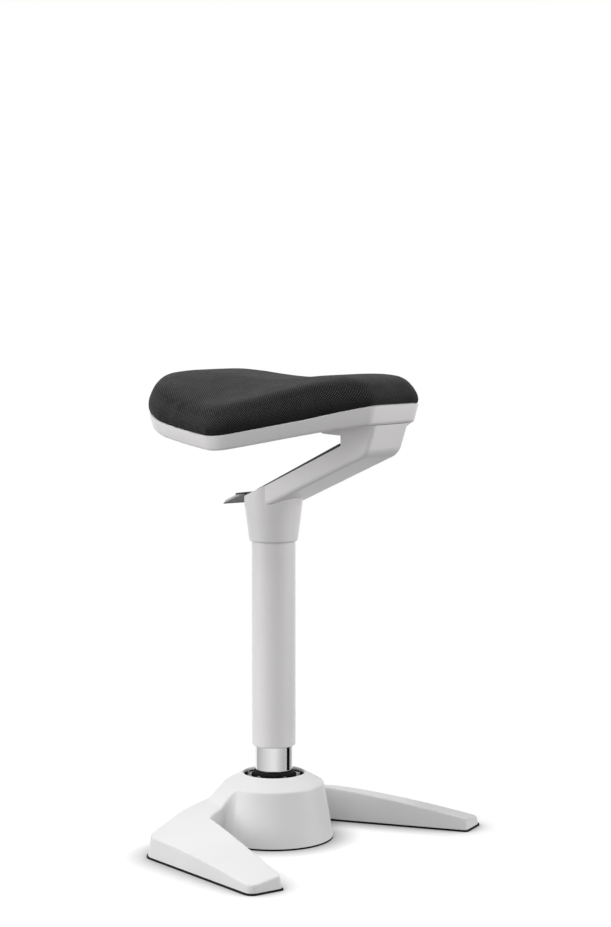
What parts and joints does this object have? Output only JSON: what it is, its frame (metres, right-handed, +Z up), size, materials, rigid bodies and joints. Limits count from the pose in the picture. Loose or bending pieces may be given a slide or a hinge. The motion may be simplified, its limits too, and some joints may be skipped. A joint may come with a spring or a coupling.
{
  "type": "perch stool",
  "caption": "Height-adjustable perch stool: a swivelling saddle seat on an offset arm, over a gas column that rocks in a swept-leg base.",
  "frame": {"origin": "on the floor, on the axis of the upright column, with the seat at its lowest", "axes": "+Z up along the column; +X forward, to the nose of the seat and the toes of the base; +Y to the sitter's left"},
  "size_m": [0.3832, 0.464, 0.6211],
  "materials": {
    "white_iron": "satin white powder coat on a cast metal base",
    "white_alloy": "satin white paint on cast aluminium",
    "white_plastic": "satin white",
    "chrome": "polished",
    "steel": "plain turned steel",
    "black_steel": "black oxide",
    "rubber": "matt black",
    "black_plastic": "matt black",
    "grey_plastic": "matt dark grey",
    "plywood": "plain",
    "fabric": "black knitted mesh over foam"
  },
  "bodies": {
    "base": {"base_sole": "rubber", "base_casting": "white_iron", "bush_housing": "steel", "housing_screw_1": "black_steel", "housing_screw_2": "black_steel", "housing_screw_3": "black_steel", "housing_screw_4": "black_steel"},
    "bush": {"rocking_bush": "rubber"},
    "column": {"taper_sleeve": "steel", "gas_cylinder": "chrome", "column_boot": "rubber", "retaining_clip": "steel", "thrust_bearing": "steel", "tube_guide": "black_plastic"},
    "spindle": {"piston_rod": "steel", "rod_clip": "steel", "piston_head": "black_plastic"},
    "head": {"lift_cylinder": "black_steel", "lift_gland": "black_plastic", "cover_tube": "white_plastic", "cover_guide": "black_plastic", "seat_arm": "white_alloy", "arm_top_cover": "black_plastic", "lever_pin": "steel", "seat_pan": "white_plastic", "mount_plate": "black_steel", "arm_bolt_1": "black_steel", "arm_bolt_2": "black_steel", "arm_bolt_3": "black_steel", "arm_bolt_4": "black_steel", "seat_board": "plywood", "board_screw_1": "steel", "board_screw_2": "steel", "board_screw_3": "steel", "board_screw_4": "steel", "board_screw_5": "steel", "board_screw_6": "steel", "seat_cushion": "fabric"},
    "lever": {"height_lever": "grey_plastic"},
    "valve": {"valve_pin": "steel"}
  },
  "joints": [
    {"name": "rock_fore_aft", "type": "hinge", "parent": "base", "child": "bush", "pos_m": [0, 0, 0.045], "axis": [0, 1, 0], "range_deg": [-7, 7], "stiffness_Nm_per_rad": 600, "deforming": ["rocking_bush"]},
    {"name": "rock_sideways", "type": "hinge", "parent": "bush", "child": "column", "pos_m": [0, 0, 0.045], "axis": [1, 0, 0], "range_deg": [-7, 7], "stiffness_Nm_per_rad": 600, "deforming": ["rocking_bush"]},
    {"name": "seat_swivel", "type": "hinge", "parent": "column", "child": "spindle", "pos_m": [0, 0, 0.02], "axis": [0, 0, 1], "continuous": true},
    {"name": "seat_height", "type": "slide", "parent": "spindle", "child": "head", "axis": [0, 0, 1], "range_m": [0, 0.2]},
    {"name": "lever_lift", "type": "hinge", "parent": "head", "child": "lever", "pos_m": [-0.022, 0, 0.4505], "axis": [0, 1, 0], "range_deg": [0, 8], "stiffness_Nm_per_rad": 0.5, "springref_deg": -5.73},
    {"name": "valve_press", "type": "slide", "parent": "head", "child": "valve", "axis": [0, 0, -1], "range_m": [0, 0.0038]}
  ],
  "couplings": [
    {"joint": "valve_press", "follows": "lever_lift", "m_per_rad": 0.0265}
  ]
}
